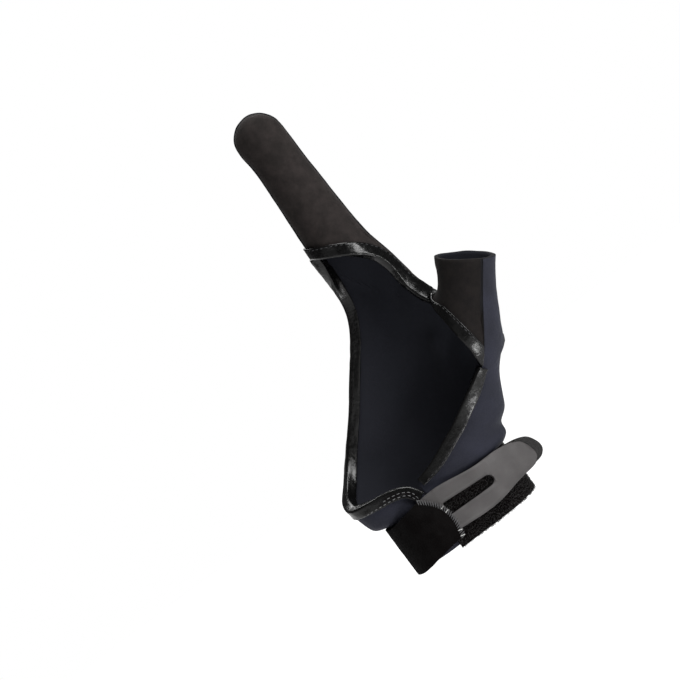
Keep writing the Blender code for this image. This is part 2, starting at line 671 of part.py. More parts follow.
def front_mesh(edge, far, rows):
    """Sheet of a front panel from its bound edge up. Its end at the web stands clear of the other front."""
    middle = settle((edge + far) / 2, LINING_LIFT)
    rows = [mix(edge, middle, FRONT_INSET), middle, far, *rows]
    for row in rows[:3]:
        row[0] += SEAM_GAP * unit(row[1] - row[0])
        row[-1] += WEB_GAP * unit(row[-2] - row[-1])
    return sheet_mesh([rows])


def index_front_panel():
    edge, far = finger_edge()
    shares = np.linspace(0, 1, FINGER_ROWS + 1)[1:]
    rows = finger_rows(far, (-FINGER_SEAM_ANGLE, FINGER_SEAM_ANGLE), shares)
    rows = [*pull_ends(rows[:-1]), rows[-1] - place(0, SEAM_GAP / 2, 0)]
    return thicken("index_front_panel", front_mesh(edge, far, rows), SUEDE, 1, FINISHES["black_suede"])


def thumb_front_panel():
    edge, far = thumb_edge()
    rows = thumb_rows(far, (THUMB_SEAM_ANGLE, THUMB_WEB_ANGLE), np.linspace(0, 1, THUMB_ROWS + 1)[1:])
    return thicken("thumb_front_panel", front_mesh(edge, far, pull_ends(rows)), SUEDE, 1, FINISHES["black_suede"])


def bindings():
    binding("finger_binding", *finger_edge(), SUEDE)
    binding("web_binding", *thumb_edge(), SUEDE)
    trunk = trunk_rows()
    heel = np.concatenate([cuff_rows()[-1][:HEEL_COLUMNS], [row[0] for row in trunk[1:]]])
    thenar = np.array([row[-1] for row in trunk])
    for name, edge in (("heel_binding", heel), ("thenar_binding", thenar)):
        share = np.linspace(0, 1, len(edge))
        narrow = BINDING_TIPS[name] + (1 - np.array(BINDING_TIPS[name])) * smooth(
            np.stack([share, 1 - share], -1) / EDGE_TURN)
        far = far_side(edge, inward(edge, SIDE_BEYOND_THUMB), EDGE_BINDING_WIDTH * narrow.prod(-1))
        binding(name, edge, far, NEOPRENE)


def strap_point(share, angle, lift):
    """Point on the strap: share of its width, angle around the wrist and lift over the hand."""
    sampled = np.full(np.shape(angle), 0.4 * STRAP_WIDTH / CUFF_HEIGHT)
    point = cast(hand_middle(sampled), hand_side(angle), lift)
    point[..., 2] = share * STRAP_WIDTH
    return point


def wrist_strap():
    band = LINING_LIFT + NEOPRENE + LAYER_GAP
    top = band + STRAP + HOOK_PAD + TAB + 3 * LAYER_GAP
    rows = []
    across = np.linspace(0, 1, STRAP_ACROSS)
    ends = ease(STRAP_END, across)[:, 0] + 360
    for turn in np.linspace(0, 1, STRAP_ALONG):
        angle = mix(STRAP_START_ANGLE, ends, turn)
        climb = smooth((angle - STRAP_CLIMB[0]) / (STRAP_CLIMB[1] - STRAP_CLIMB[0]))
        share = across + STRAP_TILT * smooth((angle - STRAP_TILTS[0]) / (STRAP_TILTS[1] - STRAP_TILTS[0]))
        rows.append(strap_point(share, angle, mix(band, top, climb)))
    return thicken("wrist_strap", sheet_mesh([rows]), STRAP, 1, FINISHES["black_velour"])


def tab_path(lift):
    """Line of the tab round the wrist from its root: along the band, then straight on from where it leaves it."""
    angle = np.linspace(-60, 90, 301)
    path = strap_point(np.zeros(301), angle, lift)[:, :2]
    leaves = np.argmax(path[:, 0] > TAB_LEAVES)
    straight = unit(path[leaves] - path[leaves - 1])
    run = np.linspace(0, 2 * TAB_REACH, 50)[1:, None]
    return np.concatenate([path[: leaves + 1], path[leaves] + run * straight])


def slot_half_width(share):
    """Half the slot's width along the tab: it narrows to a round end."""
    along = np.clip((share - SLOT_SPAN[0]) / (SLOT_SPAN[1] - SLOT_SPAN[0]), 0, 1)
    end = np.clip((along - 1 + SLOT_ROUND) / SLOT_ROUND, 0, 1)
    return SLOT_WIDTH / 2 * (1 - SLOT_NARROWING * along) * math.sqrt(1 - 0.88 * end**2)


def tab_rows(lift, reach, shrink, stations):
    """Rows across the tab, each with the two edges of the slot as its middle points."""
    path = tab_path(lift)
    rows = []
    for share, (low, high) in zip(stations, ease(TAB_OUTLINE, stations)):
        side = mix(TAB_ROOT, reach, share)
        depth = np.interp(side, path[:, 0], path[:, 1])
        along = (share - SLOT_SPAN[0]) / (SLOT_SPAN[1] - SLOT_SPAN[0])
        middle = mix(*SLOT_MIDDLE, np.clip(along, 0, 1)) * STRAP_WIDTH
        half = slot_half_width(share)
        low, high = low * STRAP_WIDTH + shrink, high * STRAP_WIDTH - shrink
        if share > SLOT_SPAN[1]:
            middle = mix(middle, (low + high) / 2, smooth((share - SLOT_SPAN[1]) / 0.2))
        lower, upper = middle - half, middle + half
        across = (low, mix(low, lower, 0.5), lower, upper, mix(upper, high, 0.5), high)
        rows.append(np.array([place(side, depth, height) for height in across]))
    return rows


def closure():
    band_top = LINING_LIFT + NEOPRENE + STRAP + 2 * LAYER_GAP
    stations = np.array(sorted({*np.linspace(0, 1, 23), *SLOT_SPAN, 0.575, 0.605, 0.98}))
    pad = sheet_mesh([tab_rows(band_top, TAB_REACH, PAD_INSET, stations)])
    thicken("hook_pad", pad, HOOK_PAD, 1, FINISHES["black_hook"])
    rows = tab_rows(band_top + HOOK_PAD + LAYER_GAP, TAB_FACE_REACH, 0, stations)
    inside = [SLOT_SPAN[0] <= low and high <= SLOT_SPAN[1] for low, high in zip(stations, stations[1:])]
    tab = sheet_mesh([rows], lambda row, column: column == 2 and inside[row])
    thicken("pull_tab", tab, TAB, 1, FINISHES["grey_rubber"])


# Colour, roughness and metallic value of each finish.
LOOKS = {
    "navy_neoprene": ((0.022, 0.022, 0.036), 0.85, 0.0),
    "black_suede": ((0.016, 0.015, 0.014), 0.9, 0.0),
    "gloss_binding": ((0.008, 0.008, 0.009), 0.25, 0.0),
    "black_velour": ((0.008, 0.008, 0.008), 0.95, 0.0),
    "black_hook": ((0.012, 0.012, 0.012), 0.7, 0.0),
    "grey_rubber": ((0.06, 0.058, 0.056), 0.55, 0.0),
}


def finish(name):
    colour, roughness, metallic = LOOKS[name]
    look = bpy.data.materials.new(name)
    look.use_nodes = True
    shader = look.node_tree.nodes["Principled BSDF"]
    shader.inputs["Base Color"].default_value = (*colour, 1)
    shader.inputs["Roughness"].default_value = roughness
    shader.inputs["Metallic"].default_value = metallic
    return look


for thing in list(bpy.data.objects):
    bpy.data.objects.remove(thing)
PARTS = bpy.data.collections.new("casting_glove")
bpy.context.scene.collection.children.link(PARTS)
FINISHES = {name: finish(name) for name in LOOKS}

back_panel()
index_front_panel()
thumb_front_panel()
bindings()
wrist_strap()
closure()
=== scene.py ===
"""Right-hand casting glove: the cloth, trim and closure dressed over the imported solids.

The frame is the part's own: metres, +Z from the wrist to the fingertip, +X to the thumb side and the palm
towards -Y. Each soft piece starts from the solid that it stands for, is subdivided into a smooth skin with
crisp cut edges, and gets its lining, its cut edge, its wrinkles and its sewing.
"""

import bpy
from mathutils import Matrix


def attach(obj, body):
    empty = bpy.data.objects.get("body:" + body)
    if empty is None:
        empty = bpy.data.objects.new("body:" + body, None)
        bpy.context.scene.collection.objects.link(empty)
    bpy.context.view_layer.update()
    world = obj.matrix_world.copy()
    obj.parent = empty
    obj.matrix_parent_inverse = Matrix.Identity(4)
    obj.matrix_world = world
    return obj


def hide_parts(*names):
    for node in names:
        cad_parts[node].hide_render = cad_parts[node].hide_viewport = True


bl_info = {
    "name": "Casting glove",
    "version": (1, 0, 0),
    "blender": (4, 5, 0),
    "location": "3D View > Sidebar > Glove",
    "description": "Dresses a casting glove with its cloth, trim, stitches and closure",
    "category": "Object",
}

import math

import bmesh
import bpy
import numpy as np
from bpy.props import FloatProperty, IntProperty, PointerProperty
from mathutils import Matrix, Vector, noise
from mathutils.bvhtree import BVHTree

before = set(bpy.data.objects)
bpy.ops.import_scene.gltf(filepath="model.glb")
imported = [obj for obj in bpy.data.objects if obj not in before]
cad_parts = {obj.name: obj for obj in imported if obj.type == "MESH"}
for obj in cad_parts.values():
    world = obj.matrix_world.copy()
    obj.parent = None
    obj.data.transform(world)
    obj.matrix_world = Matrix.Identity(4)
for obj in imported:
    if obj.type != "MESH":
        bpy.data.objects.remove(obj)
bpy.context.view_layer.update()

MM = 0.001

# Bindings in the order in which they are sewn, and the one that is sewn with light thread.
BINDINGS = ("finger_binding", "web_binding", "heel_binding", "thenar_binding")
LIGHT_BINDING = "heel_binding"

# Corners of a solid that lie this close together are one, in millimetres.
WELD = 0.01
# Two triangles make one quad up to these angles: between the two, and off a right angle at its corners.
QUAD_BEND = math.radians(35)
QUAD_SKEW = math.radians(50)
# The surface turns by more than this at a cut edge.
CUT_ANGLE = math.radians(48)
# Subdivisions of each skin, and how crisp its cut edges stay. Pieces that aren't named take CREASE.
SKIN_LEVELS = 2
CREASE = 0.9
CREASES = dict.fromkeys(BINDINGS, 0.5) | {"hook_pad": 0.95, "pull_tab": 0.75}

# Wrinkles: their height and width in millimetres, and where in the noise they start.
BACK_WRINKLES = (0.22, 9, 2.0)
FRONT_WRINKLES = (0.2, 8, 5.0)
STRAP_WRINKLES = (0.10, 4, 9.0)
# The bindings' width and start, which goes up by one for each binding. Their height is a setting.
CRUMPLE_WIDTH = 2.1
CRUMPLE_START = 11.0
# Shares of the crumple that are left where a binding is pulled tight.
SMOOTHER = {"web_binding": 0.35, "thenar_binding": 0.45, "finger_binding": 0.7}
# Finer wrinkles on top: their share of the height, and how many fit in the width of one.
FINE_SHARE = 0.4
FINE_RATE = 2.3

# Places on the back cloth where its folds are relaxed: spot and reach in millimetres, and turns.
SOFT_SPOTS = (((21, 14, 117), 18, 6), ((59.5, -13, 59), 15, 6))
# Share of the way to the middle of its neighbours that a point goes in each turn.
EASE = 0.5
# Rolls and dents of the back cloth over the strap's thumb side: height on Z, half width, push along +X.
ROLLS = ((32.6, 2.6, -2.0), (27.0, 2.6, 1.6))
# They grow from 0 to ROLL_SIDE on X, and fade over ROLL_REACH on both sides of ROLL_FRONT on Y, in mm.
ROLL_SIDE = 30
ROLL_FRONT = -16.0
ROLL_REACH = 15.0

# Two edges of a rim meet at a corner where the cosine of the angle between them is above this.
CORNER_COSINE = -0.5
# Point beside the palm's opening. A binding's cut edge lies further from it than its fold does.
OPENING_MIDDLE = Vector((-0.03, 0, 0.11))
# Rows of stitches lie this far in from the tape's outer cut edge, in millimetres.
ROW_INSET = 0.9
# The light binding's second row lies this many millimetres further in, and runs along this share of it.
SECOND_ROW = 1.6
SECOND_ROW_SHARE = 0.5

# A front cloth's rim is a seam where it runs this close to the back cloth, in millimetres.
SEAM_REACH = 1.6
# Stretches with no more points of the rim than this are no seams.
SHORT_STRETCH = 4
# The stretches run this way, towards the palm side and the wrist.
SEAM_WAY = Vector((0, -1, -0.5))
# Spot away from all the cloths, which ends the last stretch of a rim.
FAR_SPOT = Vector((0, 0, -1))
# The allowance in a seam is a cord this many millimetres under the outer faces, with this many sides.
SEAM_DEPTH = 0.5
CORD_SIDES = 10
# Middle lines of the index stall and of the thumb sleeve.
FINGER_LINE = (Vector((0.026, 0, 0.116)), Vector((0.028, -0.001, 0.2)))
THUMB_LINE = (Vector((0.034, -0.014, 0.06)), Vector((0.062, -0.022, 0.1)))

# Points of a sewn path lie this far apart, in millimetres, with this many steps from one to the next.
PATH_STEP = 1.0
SPLINE_STEPS = 16
# Points that are worked out between two given ones, to measure along a curve.
CURVE_POINTS = 12
# Segments and rings of the rounded body that makes a stitch.
STITCH_FACES = (8, 6)

# The strap's free end from its lower to its upper corner, in millimetres.
STRAP_END = (
    (-6, -27.4, 4.5),
    (-4.5, -27.4, 13),
    (-6, -27.4, 20.5),
    (-9, -27.4, 25),
    (-13.5, -27, 28.5),
)
# Its stitches: spacing, length and width in millimetres, turn, and lift off the cloth in millimetres.
OVERCAST = (1.05, 2.7, 0.6, math.radians(62), 0.0)
TACK = (4.0, 1.2, 0.4, 0.0, 0.25)
# Shares along the end where the heavy tacks lie, and how far one reaches to each side in millimetres.
TACKS = (0.03, 0.12, 0.48, 0.57)
TACK_REACH = 0.6
# The end is measured in steps of END_STEP millimetres, and END_AHEAD steps give its direction.
END_STEP = 0.5
END_AHEAD = 3

# The fuzzy patch on the strap, in millimetres. It starts at PATCH_START on X, and at COVER_START behind
# COVER_FRONT on Y, where the free end covers it. It ends at PATCH_END on Y.
PATCH_START = 2.5
COVER_START = -9
COVER_FRONT = -23.6
PATCH_END = 7.0
# Stitches along its end, laid on from PATCH_SIDE on X: their lowest and highest point, points and lift.
PATCH_SIDE = 34.0
PATCH_HEIGHTS = (1.5, 24.0)
PATCH_POINTS = 8
PATCH_LIFT = 0.1
# The tab's slot, in millimetres: its span on X, its height on Z, and its half width with the loops.
SLOT_SPAN = (-6.0, 25.0)
SLOT_HEIGHT = 18.0
SLOT_HALF_WIDTH = 5.5
# A face looks to the palm side where its normal is below this on Y.
PALM_FACING = -0.5
# Loops of the pile: radius of a loop and of its fibre in millimetres, bend, points and the fibre's sides.
LOOP_RADIUS = 0.45
FIBRE_RADIUS = 0.07
LOOP_SWEEP = math.radians(250)
LOOP_POINTS = 6
FIBRE_SIDES = 3
# Least and greatest turn of a loop in radians, and its size as a share.
LOOP_TURNS = ((-0.5, -0.5, 0), (0.5, 0.5, 6.28))
LOOP_SIZES = (0.6, 1.3)

# Stage, in metres and watts. The soft lamps and the camera look at its middle.
MIDDLE = Vector((0.002, 0.0, 0.1027))
FLOOR_SIZE = 6.0
FLOOR_HEIGHT = -0.30
# Strength of the white world for what it lights. The camera sees it at full strength.
WORLD_STRENGTH = 0.12
SUN_STRENGTH = 4.6
SUN_SPREAD = math.radians(35)
SUN_DIRECTION = Vector((-0.5, 0.45, -1.0))
# Soft lamps: name, place, size and power.
LAMPS = (
    ("key", (0.75, -0.75, 0.35), 0.35, 9),
    ("fill", (-0.8, -0.9, 0.3), 0.9, 1.0),
    ("back", (0.1, 0.7, 0.95), 0.7, 8),
)
# Spot on the web binding that shines, and where the small lamp stands that it mirrors to the camera.
GLINT_SPOT = (0.0454, -0.0333, 0.0649)
GLINT_PLACE = (0.017, -0.339, -0.159)
GLINT_SIZE = 0.09
GLINT_POWER = 0.7
# Camera: its sensor and lens in millimetres, its near clip and its distance in metres, and its three axes.
CAMERA_SENSOR = 36.0
CAMERA_LENS = 100.0
CAMERA_NEAR = 0.05
CAMERA_DISTANCE = 0.8306
CAMERA_RIGHT = Vector((0.8, 0.0, -0.6))
CAMERA_UP = Vector((0.6, 0.0, 0.8))
CAMERA_BACK = Vector((0.0, -1.0, 0.0))


def linear(hex_code):
    """Linear colour with alpha from an sRGB hex code."""
    values = [int(hex_code[index : index + 2], 16) / 255 for index in (0, 2, 4)]
    return (*[v / 12.92 if v <= 0.04045 else ((v + 0.055) / 1.055) ** 2.4 for v in values], 1.0)


# Node helpers.


def add_node(tree, kind, links=(), **values):
    """A node with its inputs set by name, and links made to it: (input, output socket)."""
    node = tree.nodes.new(kind)
    for name, value in values.items():
        if hasattr(node, name):
            setattr(node, name, value)
        else:
            node.inputs[name.replace("_", " ").title()].default_value = value
    for name, socket in links:
        tree.links.new(socket, node.inputs[name])
    return node


def new_material(name, colour, roughness, **sockets):
    """Principled material with constants set on its own sockets. Returns material, tree and shader."""
    look = bpy.data.materials.new(name)
    look.use_nodes = True
    tree = look.node_tree
    shader = tree.nodes["Principled BSDF"]
    shader.inputs["Base Color"].default_value = colour
    shader.inputs["Roughness"].default_value = roughness
    for socket, value in sockets.items():
        shader.inputs[socket.replace("_", " ")].default_value = value
    look.diffuse_color = colour
    return look, tree, shader


def object_space(tree, scale=(1, 1, 1)):
    """Object coordinates in millimetres, stretched by scale."""
    coords = add_node(tree, "ShaderNodeTexCoord")
    mapping = add_node(tree, "ShaderNodeMapping", [("Vector", coords.outputs["Object"])])
    mapping.inputs["Scale"].default_value = [value / MM for value in scale]
    return mapping.outputs["Vector"]


def noise_at(tree, vector, size, detail=2.0, roughness=0.5):
    """Noise whose features are about size millimetres wide."""
    made = add_node(tree, "ShaderNodeTexNoise", [("Vector", vector)])
    made.inputs["Scale"].default_value = 1 / size
    made.inputs["Detail"].default_value = detail
    made.inputs["Roughness"].default_value = roughness
    return made.outputs["Fac"]


def cells_at(tree, vector, size, randomness=1.0):
    """Distance from the middle of the nearest of cells about size millimetres wide."""
    made = add_node(tree, "ShaderNodeTexVoronoi", [("Vector", vector)])
    made.inputs["Scale"].default_value = 1 / size
    made.inputs["Randomness"].default_value = randomness
    return made.outputs["Distance"]


def remap(tree, socket, low, high, to_low, to_high):
    """Socket's range low to high moved to to_low to to_high, clamped."""
    made = add_node(tree, "ShaderNodeMapRange", [("Value", socket)])
    for name, value in (("From Min", low), ("From Max", high), ("To Min", to_low), ("To Max", to_high)):
        made.inputs[name].default_value = value
    return made.outputs["Result"]


def blend_colours(tree, factor, first, last):
    """Colour between two, by the factor."""
    made = add_node(tree, "ShaderNodeMix", data_type="RGBA")
    tree.links.new(factor, made.inputs["Factor"])
    for socket, colour in zip([s for s in made.inputs if s.type == "RGBA"], (first, last)):
        socket.default_value = colour
    return [s for s in made.outputs if s.type == "RGBA"][0]


def bump(tree, shader, height, distance, strength, onto=None):
    """Bump of the height, distance millimetres deep, on top of another bump where onto names one."""
    made = add_node(tree, "ShaderNodeBump", [("Height", height)])
    made.inputs["Distance"].default_value = distance * MM
    made.inputs["Strength"].default_value = strength
    if onto:
        tree.links.new(onto, made.inputs["Normal"])
    tree.links.new(made.outputs["Normal"], shader.inputs["Normal"])
    return made.outputs["Normal"]


# Materials.


def neoprene():
    """Navy laminated neoprene: fine jersey face, soft sheen and slow changes where it is stretched."""
    look, tree, shader = new_material(
        "navy_neoprene", linear("17181f"), 0.85, Specular_IOR_Level=0.14, Sheen_Weight=0.03,
        Sheen_Roughness=0.4, Sheen_Tint=linear("8a90b0"))
    space = object_space(tree)
    patches = noise_at(tree, space, 14, 3)
    flecks = noise_at(tree, space, 0.35, 1)
    colour = blend_colours(tree, remap(tree, patches, 0.3, 0.7, 0, 1), linear("15161d"), linear("1b1c25"))
    tree.links.new(colour, shader.inputs["Base Color"])
    tree.links.new(remap(tree, flecks, 0.3, 0.7, 0.72, 0.92), shader.inputs["Roughness"])
    wales = cells_at(tree, object_space(tree, (1.0, 1.0, 0.75)), 0.55)
    low = bump(tree, shader, wales, 0.10, 0.7)
    bump(tree, shader, noise_at(tree, space, 3.5, 2), 0.35, 0.5, low)
    return look


def suede(name, dark, light):
    """Black microfibre suede: short nap that lies this way and that, in lighter and darker patches."""
    look, tree, shader = new_material(
        name, linear(light), 0.95, Specular_IOR_Level=0.12, Sheen_Weight=0.03, Sheen_Roughness=0.35,
        Sheen_Tint=linear("a09a94"))
    space = object_space(tree)
    nap = noise_at(tree, space, 5, 4, 0.6)
    fibres = noise_at(tree, space, 0.22, 2, 0.7)
    colour = blend_colours(tree, remap(tree, nap, 0.35, 0.65, 0, 1), linear(dark), linear(light))
    tree.links.new(colour, shader.inputs["Base Color"])
    tree.links.new(remap(tree, fibres, 0.3, 0.7, 0.78, 0.98), shader.inputs["Roughness"])
    low = bump(tree, shader, fibres, 0.12, 0.6)
    bump(tree, shader, nap, 0.3, 0.35, low)
    return look


def gloss_binding():
    """Coated black elastic tape: glossy, finely crumpled where it is turned over the edge."""
    look, tree, shader = new_material("gloss_binding", linear("050505"), 0.22, Specular_IOR_Level=0.2)
    space = object_space(tree)
    crumple = noise_at(tree, space, 1.6, 3, 0.55)
    grain = noise_at(tree, space, 0.28, 1)
    tree.links.new(remap(tree, crumple, 0.3, 0.7, 0.14, 0.3), shader.inputs["Roughness"])
    low = bump(tree, shader, grain, 0.05, 0.5)
    bump(tree, shader, crumple, 0.18, 0.6, low)
    return look


def velour():
    """Black knitted loop pile of the strap, matte with a faint woven structure."""
    look, tree, shader = new_material(
        "black_velour", linear("040404"), 1.0, Specular_IOR_Level=0.04, Sheen_Weight=0.02,
        Sheen_Roughness=0.5, Sheen_Tint=linear("8c8c8c"))
    space = object_space(tree)
    loops = noise_at(tree, space, 0.5, 3, 0.7)
    worn = noise_at(tree, space, 6, 2)
    colour = blend_colours(tree, remap(tree, worn, 0.35, 0.7, 0, 1), linear("030202"), linear("070606"))
    tree.links.new(colour, shader.inputs["Base Color"])
    low = bump(tree, shader, loops, 0.35, 0.8)
    bump(tree, shader, worn, 0.4, 0.3, low)
    return look


def loop_fibre():
    """Nylon loops of the fuzzy band: dark, with a slight gloss on each fibre."""
    return new_material("loop_fibre", linear("1d1b1b"), 0.6, Specular_IOR_Level=0.25)[0]


def hook_plastic():
    """Moulded hook field on black nylon: small bumps in rows."""
    look, tree, shader = new_material("black_hook", linear("100f0f"), 0.6, Specular_IOR_Level=0.2)
    bump(tree, shader, cells_at(tree, object_space(tree), 0.8, 0.35), 0.5, 0.9)
    return look


def rubber():
    """Dark grey moulded rubber with a fine eroded grain and a few rubbed spots."""
    look, tree, shader = new_material("grey_rubber", linear("312f2f"), 0.6, Specular_IOR_Level=0.25)
    space = object_space(tree)
    grain = noise_at(tree, space, 0.3, 2, 0.6)
    rubbed = noise_at(tree, space, 9, 3)
    colour = blend_colours(tree, remap(tree, rubbed, 0.4, 0.75, 0, 1), linear("2d2b2b"), linear("383636"))
    tree.links.new(colour, shader.inputs["Base Color"])
    tree.links.new(remap(tree, grain, 0.3, 0.7, 0.45, 0.66), shader.inputs["Roughness"])
    bump(tree, shader, grain, 0.12, 0.6)
    return look


def foam():
    """Black closed-cell foam where the neoprene is cut."""
    look, tree, shader = new_material("cut_foam", linear("121214"), 0.9, Specular_IOR_Level=0.12)
    bump(tree, shader, cells_at(tree, object_space(tree), 0.25), 0.15, 0.8)
    return look


def jersey():
    """Dark lining jersey: fine ribs."""
    look, tree, shader = new_material("lining_jersey", linear("131419"), 0.95, Specular_IOR_Level=0.12)
    ribs = noise_at(tree, object_space(tree, (2.5, 2.5, 0.8)), 0.6, 1)
    bump(tree, shader, ribs, 0.12, 0.7)
    return look


def seam_allowance():
    """Black overlocked edge of the cloths, seen as a thin dark line in a seam."""
    look, tree, shader = new_material("seam_allowance", linear("0e0e10"), 0.9, Specular_IOR_Level=0.12)
    bump(tree, shader, noise_at(tree, object_space(tree), 0.5, 1), 0.1, 0.6)
    return look


def thread(name, hex_code):
    """Twisted polyester sewing thread."""
    look, tree, shader = new_material(name, linear(hex_code), 0.55, Specular_IOR_Level=0.3)
    twist = add_node(tree, "ShaderNodeTexWave", [("Vector", object_space(tree))], wave_type="BANDS",
                     bands_direction="DIAGONAL")
    twist.inputs["Scale"].default_value = 3
    bump(tree, shader, twist.outputs["Fac"], 0.05, 0.6)
    return look


LOOKS = {}


def make_looks():
    """Builds every material once."""
    if not LOOKS:
        LOOKS.update(
            neoprene=neoprene(), suede=suede("black_suede", "141110", "1e1a19"),
            # The thumb front's suede is a darker copy of the black suede: painted shade on a side that the
            # light misses.
            turned_suede=suede("turned_suede", "080606", "0f0c0b"), binding=gloss_binding(),
            velour=velour(), fibre=loop_fibre(), hook=hook_plastic(), rubber=rubber(), foam=foam(),
            jersey=jersey(), seam=seam_allowance(), dark_thread=thread("dark_thread", "1b1b1d"),
            rib_thread=thread("rib_thread", "303031"), grey_thread=thread("grey_thread", "4a4a4b"),
            pale_thread=thread("pale_thread", "8c8c8a"),
        )
    return LOOKS


# Cloth from the solids.


def clean_copy(node):
    """The node's mesh with its corners joined and its triangle pairs made quads again."""
    mesh = bmesh.new()
    mesh.from_mesh(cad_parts[node].data)
    mesh.transform(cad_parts[node].matrix_world)
    bmesh.ops.remove_doubles(mesh, verts=mesh.verts, dist=WELD * MM)
    bmesh.ops.join_triangles(
        mesh, faces=mesh.faces, angle_face_threshold=QUAD_BEND, angle_shape_threshold=QUAD_SKEW)
    return mesh


def cut_edges(mesh):
    """Sharp edges of a mesh, where its cloth is cut."""
    return {edge for edge in mesh.edges
            if len(edge.link_faces) == 2 and edge.calc_face_angle(0) > CUT_ANGLE}


def sides_of(mesh, sharp):
    """Groups of faces that no sharp edge crosses, the largest first."""
    left = set(mesh.faces)
    groups = []
    while left:
        stack = [left.pop()]
        group = set(stack)
        while stack:
            for edge in stack.pop().edges:
                if edge in sharp:
                    continue
                for face in edge.link_faces:
                    if face in left:
                        left.discard(face)
                        group.add(face)
                        stack.append(face)
        groups.append(group)
    return sorted(groups, key=lambda group: -sum(face.calc_area() for face in group))


def rim_chains(mesh, sharp, face_group):
    """Chains of points along the sharp edges of a face group, each point with its direction inwards."""
    rim = [edge for edge in mesh.edges
           if edge in sharp and any(face in face_group for face in edge.link_faces)]
    links = {}
    for edge in rim:
        for vert in edge.verts:
            links.setdefault(vert, []).append(edge)
    left = set(rim)
    chains = []
    ends = [vert for vert, edges in links.items() if len(edges) != 2 or turns_sharply(vert, edges)]
    for vert in ends + list(links):
        for edge in links[vert]:
            if edge not in left:
                continue
            chain = [vert]
            while edge in left:
                left.discard(edge)
                chain.append(edge.other_vert(chain[-1]))
                if chain[-1] in ends:
                    break
                edge = next((other for other in links[chain[-1]] if other in left), edge)
            chains.append([(link.co.copy(), into_faces(link, face_group)) for link in chain])
    return chains


def turns_sharply(vert, edges):
    """Whether two rim edges meet at a corner."""
    first, last = [(edge.other_vert(vert).co - vert.co).normalized() for edge in edges]
    return first.dot(last) > CORNER_COSINE


def into_faces(vert, face_group):
    """Unit direction from a rim point to the middle of the faces beside it."""
    middles = [face.calc_center_median() for face in vert.link_faces if face in face_group]
    return (sum(middles, Vector()) / len(middles) - vert.co).normalized()


def chain_length(chain):
    """Length of a chain in metres."""
    return sum((after[0] - before[0]).length for before, after in zip(chain, chain[1:]))


def outer_rims(node):
    """Rim chains of the larger side of a solid, the longest first."""
    mesh = clean_copy(node)
    sharp = cut_edges(mesh)
    chains = rim_chains(mesh, sharp, sides_of(mesh, sharp)[0])
    mesh.free()
    return sorted(chains, key=chain_length, reverse=True)


def solid_tree(node):
    """Search tree of a node's solid."""
    mesh = clean_copy(node)
    tree = BVHTree.FromBMesh(mesh)
    mesh.free()
    return tree


def outward(spot, node):
    """Unit direction from the middle line of the index stall or the thumb sleeve to a spot."""
    first, last = FINGER_LINE if node == "index_front_panel" else THUMB_LINE
    along = (last - first).normalized()
    side = spot - first
    return (side - along * side.dot(along)).normalized()


def stitch_row(node, inset):
    """Row of stitches of a binding: its outer cut edge, moved in by the inset in millimetres."""
    legs = outer_rims(node)[:2]
    cut = max(legs, key=lambda leg: sum((spot - OPENING_MIDDLE).length for spot, _ in leg) / len(leg))
    row = [spot + inward * inset * MM for spot, inward in cut]
    return row if row[0].z < row[-1].z else row[::-1]


def seam_rows(node, back):
    """Stretches of a front cloth's rim that run beside the back cloth, halfway between the two."""
    rows = []
    for chain in outer_rims(node):
        row = []
        for spot, _ in chain + [(FAR_SPOT, None)]:
            beside, _, _, gap = back.find_nearest(spot)
            if gap < SEAM_REACH * MM:
                row.append((spot + beside) / 2)
                continue
            if len(row) > SHORT_STRETCH:
                rows.append(row if (row[-1] - row[0]).dot(SEAM_WAY) > 0 else row[::-1])
            row = []
    return rows


def crumpled(thing, height, width, start):
    """Wrinkles a piece along its normals by smooth noise. Height and width are in millimetres."""
    data = thing.data
    points = np.empty(3 * len(data.vertices))
    normals = np.empty(3 * len(data.vertices))
    data.vertices.foreach_get("co", points)
    data.vertices.foreach_get("normal", normals)
    points, normals = points.reshape(-1, 3), normals.reshape(-1, 3)
    for index, point in enumerate(points):
        spot = Vector([point[axis] / (width * MM) + start for axis in range(3)])
        lift = noise.noise(spot) + FINE_SHARE * noise.noise(spot * FINE_RATE)
        points[index] = point + normals[index] * lift * height * MM
    data.vertices.foreach_set("co", points.ravel())
    data.update()


def eased(mesh, sharp, spot, reach, turns):
    """Relaxes the cloth within reach of a spot, in millimetres. Cut edges stay where they are."""
    held = {vert for edge in sharp for vert in edge.verts}
    near = [vert for vert in mesh.verts
            if vert not in held and (vert.co / MM - Vector(spot)).length < reach]
    for _ in range(turns):
        bmesh.ops.smooth_vert(
            mesh, verts=near, factor=EASE, use_axis_x=True, use_axis_y=True, use_axis_z=True)


def skin(node, looks, soft_spots=()):
    """Smooth piece that stands for a solid. Looks: of its outer face, its lining and its cut edge."""
    mesh = clean_copy(node)
    creases = mesh.edges.layers.float.get("crease_edge") or mesh.edges.layers.float.new("crease_edge")
    sharp = cut_edges(mesh)
    for edge in sharp:
        edge[creases] = CREASES.get(node, CREASE)
    for spot, reach, turns in soft_spots:
        eased(mesh, sharp, spot, reach, turns)
    groups = sides_of(mesh, sharp)
    if len(groups) > 1:
        for face in mesh.faces:
            face.material_index = 0 if face in groups[0] else 1 if face in groups[1] else 2
    data = bpy.data.meshes.new(node + "_skin")
    mesh.to_mesh(data)
    mesh.free()
    thing = bpy.data.objects.new(node + "_skin", data)
    bpy.context.scene.collection.objects.link(thing)
    for look in looks:
        data.materials.append(look)
    rounding = thing.modifiers.new("Skin", "SUBSURF")
    rounding.levels = rounding.render_levels = SKIN_LEVELS
    applied = bpy.data.meshes.new_from_object(thing.evaluated_get(bpy.context.evaluated_depsgraph_get()))
    thing.modifiers.clear()
    thing.data = applied
    applied.shade_smooth()
    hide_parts(node)
    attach(thing, "root")
    return thing


